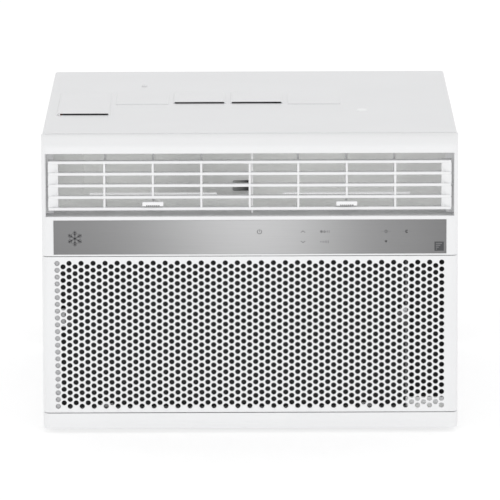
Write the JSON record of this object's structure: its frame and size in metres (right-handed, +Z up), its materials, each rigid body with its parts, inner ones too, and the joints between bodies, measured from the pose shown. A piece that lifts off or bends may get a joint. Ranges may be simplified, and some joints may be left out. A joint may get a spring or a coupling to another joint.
{
  "type": "window air conditioner",
  "caption": "Window air conditioner with a perforated front door, tilting louvre frame, steerable vanes, blower and cooling circuit.",
  "frame": {"origin": "middle of the underside of the bounding box, on the surface that the base pan stands on", "axes": "+X to the right seen from the room, +Y from the front panel to the back, +Z up"},
  "size_m": [0.502, 0.546, 0.3623],
  "materials": {
    "white_plastic": "satin moulded plastic",
    "painted_steel": "powder-coated sheet steel, satin",
    "silver_overlay": "silver film with a fine brushed grain",
    "dark_plastic": "matt",
    "foam": "fine-grained moulded foam",
    "aluminium": "bare fins",
    "galvanised": "galvanised",
    "copper": "drawn copper",
    "rubber": "matt",
    "board_green": "solder mask",
    "filter_mesh": "woven mesh in a white frame",
    "black_enamel": "semi-gloss enamel"
  },
  "bodies": {
    "housing": {"front_panel": "white_plastic", "centre_post": "white_plastic", "pivot_bracket_left": "white_plastic", "pivot_bracket_right": "white_plastic", "vane_rail_top": "white_plastic", "vane_rail_bottom": "white_plastic", "cabinet": "painted_steel", "control_overlay": "silver_overlay", "sensor_clip": "dark_plastic", "side_baffle": "dark_plastic", "outlet_duct": "foam", "drip_tray": "foam", "blower_scroll": "foam", "evaporator_coil": "aluminium", "condenser_coil": "aluminium", "run_capacitor": "aluminium", "base_pan": "galvanised", "bulkhead": "galvanised", "motor_bracket": "galvanised", "fan_shroud": "galvanised", "control_box": "galvanised", "top_screw": "galvanised", "suction_pipe": "copper", "discharge_pipe": "copper", "capillary_tube": "copper", "accumulator": "copper", "compressor_foot_1": "rubber", "compressor_foot_2": "rubber", "compressor_foot_3": "rubber", "drain_plug": "rubber", "cord_gland": "rubber", "wire_grommet": "rubber", "control_board": "board_green", "compressor": "black_enamel", "fan_motor": "black_enamel", "rear_guard": "black_enamel"},
    "door": {"grille_door": "white_plastic", "air_filter": "filter_mesh", "filter_clip_left": "white_plastic", "filter_clip_right": "white_plastic"},
    "louvre": {"louvre_frame": "white_plastic"},
    "rotor": {"motor_shaft": "galvanised", "blower_wheel": "dark_plastic", "condenser_fan": "dark_plastic"},
    "vane_left_1": {"vane_left_1": "white_plastic"},
    "vane_left_2": {"vane_left_2": "white_plastic"},
    "vane_left_3": {"vane_left_3": "white_plastic"},
    "vane_right_1": {"vane_right_1": "white_plastic"},
    "vane_right_2": {"vane_right_2": "white_plastic"},
    "vane_right_3": {"vane_right_3": "white_plastic"},
    "tie_bar_left": {"tie_bar_left": "white_plastic"},
    "tie_bar_right": {"tie_bar_right": "white_plastic"}
  },
  "joints": [
    {"name": "door_hinge", "type": "hinge", "parent": "housing", "child": "door", "pos_m": [0, -0.2705, 0.02795], "axis": [1, 0, 0], "range_deg": [0, 70]},
    {"name": "louvre_tilt", "type": "hinge", "parent": "housing", "child": "louvre", "pos_m": [0, -0.261, 0.3021], "axis": [1, 0, 0], "range_deg": [-10, 10]},
    {"name": "rotor_spin", "type": "hinge", "parent": "housing", "child": "rotor", "pos_m": [-0.03, 0, 0.158], "axis": [0, 1, 0], "continuous": true},
    {"name": "vane_left_1_turn", "type": "hinge", "parent": "housing", "child": "vane_left_1", "pos_m": [-0.0581, -0.221, 0.3032], "axis": [0, 0, 1], "range_deg": [-25, 25]},
    {"name": "vane_left_2_turn", "type": "hinge", "parent": "housing", "child": "vane_left_2", "pos_m": [-0.1162, -0.221, 0.3032], "axis": [0, 0, 1], "range_deg": [-25, 25]},
    {"name": "vane_left_3_turn", "type": "hinge", "parent": "housing", "child": "vane_left_3", "pos_m": [-0.1743, -0.221, 0.3032], "axis": [0, 0, 1], "range_deg": [-25, 25]},
    {"name": "tie_bar_left_shift", "type": "slide", "parent": "housing", "child": "tie_bar_left", "axis": [1, 0, 0], "range_m": [-0.0079, 0.0079]},
    {"name": "vane_right_1_turn", "type": "hinge", "parent": "housing", "child": "vane_right_1", "pos_m": [0.0581, -0.221, 0.3032], "axis": [0, 0, 1], "range_deg": [-25, 25]},
    {"name": "vane_right_2_turn", "type": "hinge", "parent": "housing", "child": "vane_right_2", "pos_m": [0.1162, -0.221, 0.3032], "axis": [0, 0, 1], "range_deg": [-25, 25]},
    {"name": "vane_right_3_turn", "type": "hinge", "parent": "housing", "child": "vane_right_3", "pos_m": [0.1743, -0.221, 0.3032], "axis": [0, 0, 1], "range_deg": [-25, 25]},
    {"name": "tie_bar_right_shift", "type": "slide", "parent": "housing", "child": "tie_bar_right", "axis": [1, 0, 0], "range_m": [-0.0079, 0.0079]}
  ],
  "couplings": [
    {"joint": "vane_left_1_turn", "follows": "vane_left_2_turn", "ratio": 1},
    {"joint": "vane_left_3_turn", "follows": "vane_left_2_turn", "ratio": 1},
    {"joint": "tie_bar_left_shift", "follows": "vane_left_2_turn", "m_per_rad": 0.018},
    {"joint": "vane_right_1_turn", "follows": "vane_right_2_turn", "ratio": 1},
    {"joint": "vane_right_3_turn", "follows": "vane_right_2_turn", "ratio": 1},
    {"joint": "tie_bar_right_shift", "follows": "vane_right_2_turn", "m_per_rad": 0.018}
  ]
}
